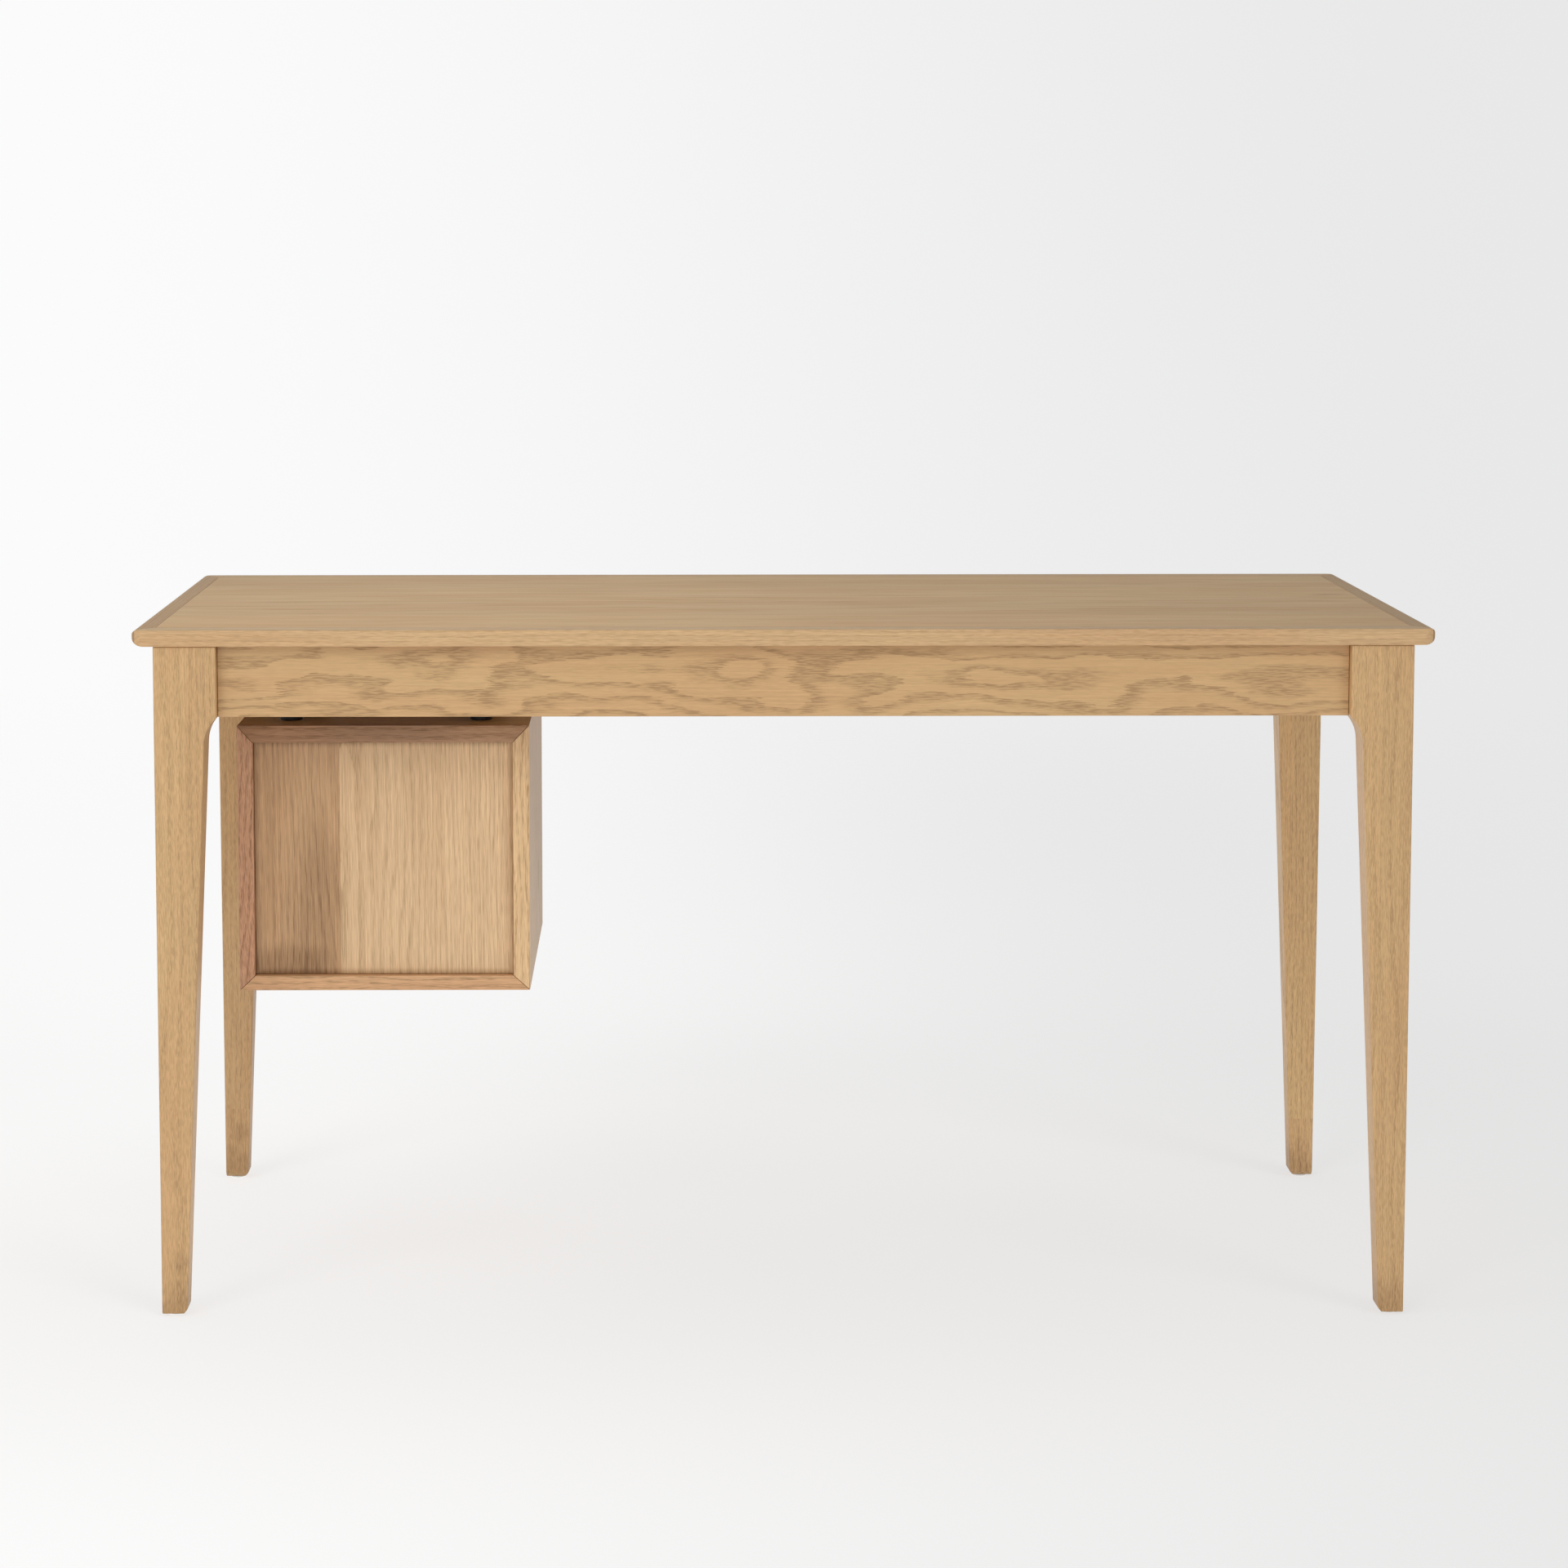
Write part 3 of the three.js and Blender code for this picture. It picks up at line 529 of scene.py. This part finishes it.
# the back panel's rim is painted shade along its edges, where it meets the case's frame
boards["pedestal_back_panel"] = dict(
    edge=0.9, grain=(0.012, 0, 1), pith=(60, -90, 0), ringWidth=4.5, sway=5, swayLength=260, jag=4,
    bandDepth=0.35, dashDepth=0.2, fibreDepth=0.2, light="#E4C094", warm="#DEB689", poreLength=22,
    poreWidth=0.7, fibreWidth=1.3, rim=0.4,
    marks=[((75, 0, -60), (40, 60, 150), 0.35), ((110, 0, -120), (60, 60, 30), 0.4)],
    joints=[(0, 49, (31, 12, 200), (-0.19, -0.27, -0.33)), (0, -68, (17, 7, 300), (-0.03, -0.03, -0.03))])

# drawers: fronts and knobs match the case, boxes are pale and less finished
for name, pith in (("drawer_lower", (0, 70, -30)), ("drawer_upper", (300, 70, 20))):
    boards[name + "_front"] = dict(edge=0.8, grain=alongX, pith=pith, sway=14, ringWidth=5.5)
    boards[name + "_knob"] = dict(edge=0.3, grain=alongY, pith=(20, 0, 30), ringWidth=4)
    for part, grain in (("_side_left", alongY), ("_side_right", alongY),
                        ("_back", alongX), ("_bottom", alongX)):
        boards[name + part] = dict(edge=0.6, grain=grain, pith=(pith[0] + 50, -40, 80), sway=5, bandDepth=0.3,
                                   light="#DCC49C", dark="#B8986C", warm="#D6BA8E", roughness=0.55)

# frame parts that stay out of sight
for name in nodes:
    if name.startswith(("corner_block", "bearer", "centre_brace")):
        boards[name] = dict(edge=0.8, grain=alongY, pith=(60, 0, 40), roughness=0.6,
                            light="#CDB083", dark="#A88A60")

for name, cut in boards.items():
    low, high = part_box(name)
    look = dict(oakLook, half=(high - low) / 2, **cut)
    easeEdges(nodes[name], look["edge"])
    dress(name, oak("satin oak " + name, boxCentre(name), look))
print("oak boards cut:", len(boards))


metalLook = {
    "cloud": 25.0,       # mm across a patch where the colour is duller
    "cloudShade": 0.82,  # how dull it gets
    "sides": 64,         # of every turned piece
    "crossArm": 0.55,    # mm, half the width of a screw's cross recess
}


def speckled(name, look):
    # fine noise of grain mm moves the roughness by spread and raises the surface by bump mm
    material, tree, shader = newMaterial(name)
    node = partial(addNode, tree)
    place = node("ShaderNodeTexCoord", output="Object")
    fineScale, cloudScale = (1 / (size * mm) for size in (look["grain"], metalLook["cloud"]))
    fine = node("ShaderNodeTexNoise", {}, {"Vector": place, "Scale": fineScale, "Detail": 3}, "Fac")
    broad = node("ShaderNodeTexNoise", {}, {"Vector": place, "Scale": cloudScale, "Detail": 2}, "Fac")
    fresh = linear(look["colour"])
    worn = [c * metalLook["cloudShade"] for c in fresh[:3]] + [1.0]
    paint = node("ShaderNodeMix", colourMix, {"Factor": broad, "A": fresh, "B": worn}, "Result")
    tree.links.new(paint, shader.inputs["Base Color"])
    spread = look["spread"]
    dull = node("ShaderNodeMath", {"operation": "MULTIPLY_ADD"},
                {0: fine, 1: spread, 2: look["roughness"] - spread / 2})
    tree.links.new(dull, shader.inputs["Roughness"])
    bump = node("ShaderNodeBump", {}, {"Height": fine, "Strength": 0.4, "Distance": look["bump"] * mm})
    tree.links.new(bump, shader.inputs["Normal"])
    for key, value in look["shader"].items():
        shader.inputs[key].default_value = value
    return material


# powder coat: soft satin black with a faint orange peel
blackSteel = speckled("powder-coated black steel", {
    "colour": "#1D1C1B", "roughness": 0.46, "grain": 0.5, "spread": 0.1, "bump": 0.03,
    "shader": {"Metallic": 0.0, "IOR": 1.5}})
# bright zinc plate: pale grey, slightly cloudy reflections
zinc = speckled("zinc-plated steel", {
    "colour": "#B4B8BA", "roughness": 0.34, "grain": 0.8, "spread": 0.14, "bump": 0.01,
    "shader": {"Metallic": 1.0}})
# moulded nylon: milky white, light goes a little way in
nylon = speckled("white nylon", {
    "colour": "#ECEAE4", "roughness": 0.42, "grain": 1.2, "spread": 0.1, "bump": 0.02,
    "shader": {"Metallic": 0.0, "IOR": 1.53, "Subsurface Weight": 0.25, "Subsurface Scale": 1.5 * mm}})


def outline(form, radius, angle):
    # how far a round, hexagonal or cross-shaped section reaches at that angle
    if form == "hexagon":
        half = math.radians(30)
        return radius * math.cos(half) / math.cos(angle % (2 * half) - half)
    if form == "cross":
        nearAxis = min(abs(math.sin(angle)), abs(math.cos(angle)))
        return min(radius, metalLook["crossArm"] / max(nearAxis, 0.01))
    return radius


def turned(name, profile, place, direction, material):
    # profile: (radius, height, form) in mm from one end of the axis to the other, along direction from place
    shape = bmesh.new()
    loops = []
    for radius, height, form in profile:
        count = metalLook["sides"] if radius else 1
        angles = [math.tau * step / count for step in range(count)]
        reach = [outline(form, radius, angle) * mm for angle in angles]
        loops.append([shape.verts.new((r * math.cos(a), r * math.sin(a), height * mm))
                      for r, a in zip(reach, angles)])
    for low, high in zip(loops, loops[1:]):
        for step in range(metalLook["sides"]):
            corners = [low[step % len(low)], low[(step + 1) % len(low)],
                       high[(step + 1) % len(high)], high[step % len(high)]]
            corners = [v for i, v in enumerate(corners) if v not in corners[:i]]
            shape.faces.new(corners)
    bmesh.ops.recalc_face_normals(shape, faces=shape.faces)
    mesh = bpy.data.meshes.new(name)
    shape.to_mesh(mesh)
    shape.free()
    mesh.materials.append(material)
    piece = bpy.data.objects.new(name, mesh)
    scene.collection.objects.link(piece)
    piece.location = place
    piece.rotation_euler = Vector(direction).to_track_quat("Z", "Y").to_euler()
    return piece


def curve(points):
    return [(radius, height, "round") for radius, height in points]


def stand(name, profile, direction, material, edge, segments=3):
    # the turned piece takes the CAD node's place, from its lower end up or from its back towards the user
    low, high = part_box(name)
    place = (low + high) / 2
    if direction == alongZ:
        place.z = low.z
    else:
        place.y = high.y
    piece = turned(name + "_turned", profile, place, direction, material)
    easeEdges(piece, edge, segments)
    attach(piece, bodyOf(name))
    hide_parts(name)


# a shallow dome that the floor touches, under a thin rim
glideLook = {
    "edge": 0.25,   # mm
    # from the middle of the sole out and up, as shares of the radius and the height
    "profile": [(0, 0), (0.4, 0.03), (0.7, 0.12), (0.88, 0.27), (1, 0.5), (1, 1), (0, 1)],
}


def footGlide(name, size):
    r, h = size.x / 2, size.z
    profile = curve([(r * out, h * up) for out, up in glideLook["profile"]])
    stand(name, profile, alongZ, nylon, glideLook["edge"])


# a tube with a bolt through it
standoffLook = {"edge": 0.6, "bore": 3.4}   # mm


def standoff(name, size):
    r, h, bore = size.x / 2, size.z, standoffLook["bore"]
    profile = curve([(bore, 0), (r, 0), (r, h), (bore, h), (bore, 0)])
    stand(name, profile, alongZ, blackSteel, standoffLook["edge"])


# hexagon socket head below, plain shank above; all mm
hangBoltLook = {
    "edge": 0.15,
    "shank": 3.0,       # radius
    "headHeight": 4.0,
    "recess": {"form": "hexagon", "depth": 2.4, "bottom": 2.6, "mouth": 2.6},
    "crown": [(1.2, 0), (0.4, 0.4), (0, 1.4)],   # in from the edge of the head, and down from its top
}
# its head, with a cross recess, is inside the drawer; all mm
knobScrewLook = {
    "edge": 0.1,
    "shank": 2.0,
    "headHeight": 2.5,
    "recess": {"form": "cross", "depth": 1.4, "bottom": 1.0, "mouth": 2.6},
    "crown": [(1.5, 0), (0.5, 0.5), (0, 1.6)],
}


def boltProfile(look, head, length):
    recess, shank, rim = look["recess"], look["shank"], look["headHeight"]
    form, depth = recess["form"], recess["depth"]
    hollow = [(0, depth, "round"), (recess["bottom"], depth, form), (recess["mouth"], 0, form)]
    crown = [(head - inset, down) for inset, down in look["crown"]]
    return hollow + curve(crown + [(head, rim), (shank, rim), (shank, length), (0, length)])


def hangBolt(name, size):
    profile = boltProfile(hangBoltLook, size.x / 2, size.z)
    stand(name, profile, alongZ, zinc, hangBoltLook["edge"], segments=2)


def knobScrew(name, size):
    profile = boltProfile(knobScrewLook, size.x / 2, size.y)
    stand(name, profile, towardsUser, zinc, knobScrewLook["edge"], segments=2)


# foot, hollow neck and a domed head; all mm, heights from the drawer's front
knobLook = {
    "edge": 0.2,
    "foot": [(2.6, 0), (9, 0), (9.3, 1), (9, 2)],   # radius, height
    "neck": 7.0,            # radius where it is thinnest
    "neckFlare": 1.8,       # how much wider it is at its ends
    "neckFrom": 2.4,
    "neckLength": 7.2,
    "widest": 14.5,         # where the head is widest
    "underHead": 4.1,       # how deep the curve below that is
}


def knob(name, size):
    look, r, h = knobLook, size.x / 2, size.y
    neck = [(look["neck"] + look["neckFlare"] * (t - 0.5) ** 2 * 4, look["neckFrom"] + look["neckLength"] * t)
            for t in (0, 0.2, 0.4, 0.6, 0.8, 1)]
    below = [(r * math.sin(a), look["widest"] - look["underHead"] * math.cos(a))
             for a in map(math.radians, (45, 60, 75, 90))]
    dome = [(r * math.cos(a), look["widest"] + (h - look["widest"]) * math.sin(a))
            for a in map(math.radians, (15, 30, 45, 60, 72, 82))]
    profile = curve(look["foot"] + neck + below + dome + [(0, h)])
    stand(name, profile, towardsUser, nodes[name].data.materials[0], look["edge"])


makers = (("foot_glide", footGlide), ("standoff", standoff), ("hang_bolt", hangBolt),
          ("_knob_screw", knobScrew), ("_knob", knob))
for name in list(nodes):
    low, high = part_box(name)
    for word, make in makers:
        if word in name:
            make(name, (high - low) / mm)
            break
print("turned pieces made")

slideLook = {"edge": 0.35}   # mm
for name in nodes:
    if "_slide_" in name:
        dress(name, zinc)
        easeEdges(nodes[name], slideLook["edge"], segments=2)
print("slides plated")


# the heads of cross-headed wood screws; all mm
screwLook = {
    "edge": 0.06,
    "depth": 1.0,          # of the recess
    "sunk": 1.4,           # how far the head goes into the board
    "slide": {"radius": 2.8, "rise": 0.6},
    "frame": {"radius": 3.4, "rise": 0.9},
    "web": 1.5,            # thickness of a slide channel's web
    "slidePlaces": (("front", 0.18), ("back", 0.82)),      # shares of the piece's length
    "bearerPlaces": (("front", 0.1), ("middle", 0.5), ("back", 0.9)),
    "blockPlaces": (("low", 0.25), ("high", 0.75)),
}


def screwHead(name, place, direction, body, radius, rise):
    bottom = rise - screwLook["depth"]
    recess = [(0, bottom, "round"), (radius * 0.25, bottom, "cross"), (radius * 0.62, rise, "cross")]
    rim = curve([(radius * 0.7, rise), (radius * 0.86, rise * 0.85), (radius * 0.96, rise * 0.5),
                 (radius, 0.05), (radius, -0.3), (0, -screwLook["sunk"])])
    piece = turned(name, recess + rim, place, direction, zinc)
    easeEdges(piece, screwLook["edge"], segments=2)
    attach(piece, body)


def slideScrews():
    # on the web of each channel on a drawer
    for name in nodes:
        if "_slide_drawer_" not in name:
            continue
        low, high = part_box(name)
        side = 1 if name.endswith("right") else -1
        web = (low.x if side > 0 else high.x) + side * screwLook["web"] * mm
        for end, share in screwLook["slidePlaces"]:
            place = (web, low.y + share * (high.y - low.y), (low.z + high.z) / 2)
            screwHead(name + "_screw_" + end, place, (side, 0, 0), bodyOf(name), **screwLook["slide"])


def frameScrews():
    # heads under the bearers and the brace, and two on each corner block
    for name in nodes:
        low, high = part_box(name)
        if name.startswith(("bearer", "centre_brace")):
            for end, share in screwLook["bearerPlaces"]:
                place = ((low.x + high.x) / 2, low.y + share * (high.y - low.y), low.z)
                screwHead(name + "_screw_" + end, place, (0, 0, -1), "desk", **screwLook["frame"])
        elif name.startswith("corner_block"):
            inward = Vector((-1 if low.x > 0 else 1, -1 if low.y > 0 else 1, 0)).normalized()
            mesh = nodes[name].data
            face = max(mesh.polygons, key=lambda p: (round(p.normal.dot(inward), 3), p.area))
            middle = sum((mesh.vertices[i].co for i in face.vertices), Vector()) / len(face.vertices)
            for end, share in screwLook["blockPlaces"]:
                place = (middle.x, middle.y, low.z + share * (high.z - low.z))
                screwHead(name + "_screw_" + end, place, inward, "desk", **screwLook["frame"])


slideScrews()
frameScrews()
print("screws placed")
